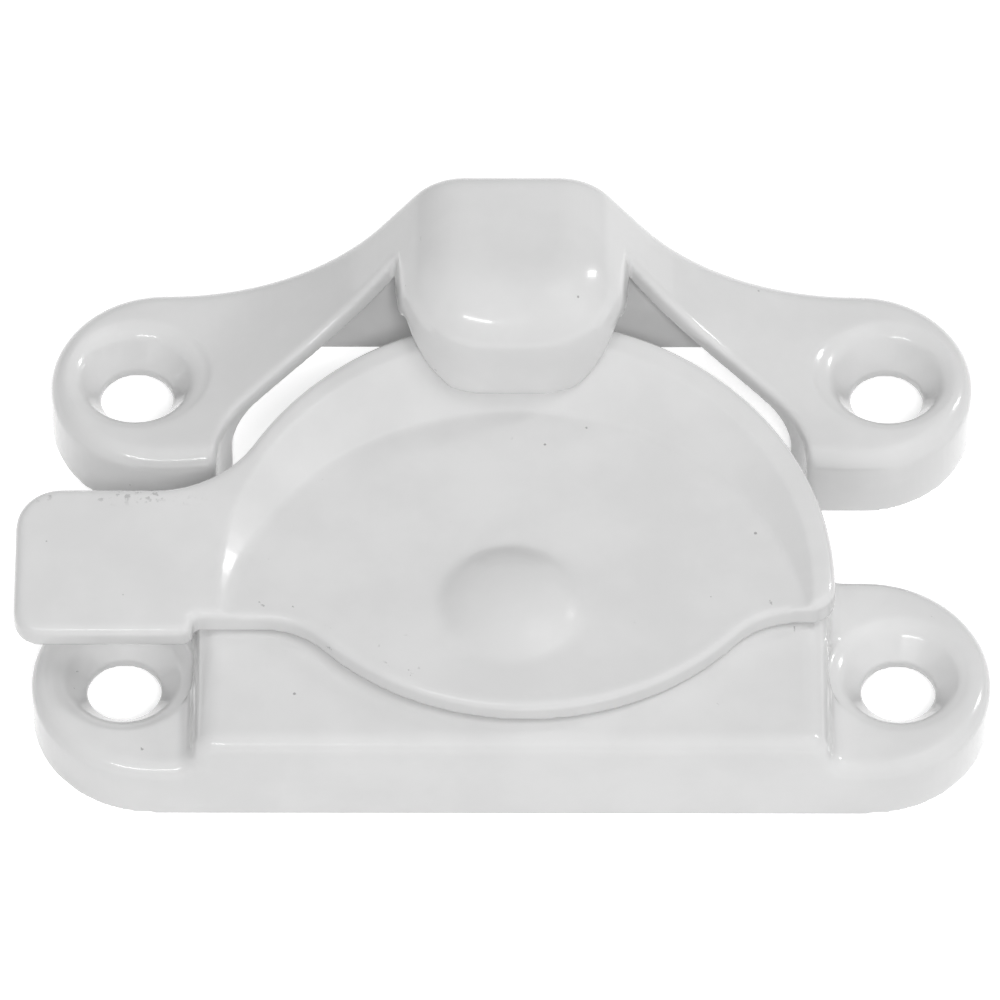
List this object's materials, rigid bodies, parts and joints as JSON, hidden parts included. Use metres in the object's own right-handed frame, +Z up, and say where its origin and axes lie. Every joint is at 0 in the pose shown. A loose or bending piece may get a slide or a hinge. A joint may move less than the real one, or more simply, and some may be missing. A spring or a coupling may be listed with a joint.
{
  "type": "sash lock",
  "caption": "Crescent-cam sash window lock: a base plate with a turning leaf-shaped lever, and a separate arched keeper whose hooked nose the lever's rim catches.",
  "frame": {"origin": "midway between the two screw holes of the base plate, in the plane of its underside", "axes": "+Z up, away from the mounting surface; +X along the base plate to the right; +Y from the base plate towards the keeper"},
  "size_m": [0.0661, 0.0418, 0.0182],
  "materials": {
    "paint": "gloss white",
    "steel": "plain"
  },
  "bodies": {
    "frame": {"base_plate": "paint", "keeper": "paint", "detent_spring": "steel"},
    "turning_lever": {"lever": "paint", "detent_cam": "steel"}
  },
  "joints": [
    {"name": "lever_turn", "type": "hinge", "parent": "frame", "child": "turning_lever", "pos_m": [0, 0.0024, 0.0077], "axis": [0, 0, 1], "range_deg": [0, 180], "deforming": ["detent_spring"]}
  ]
}
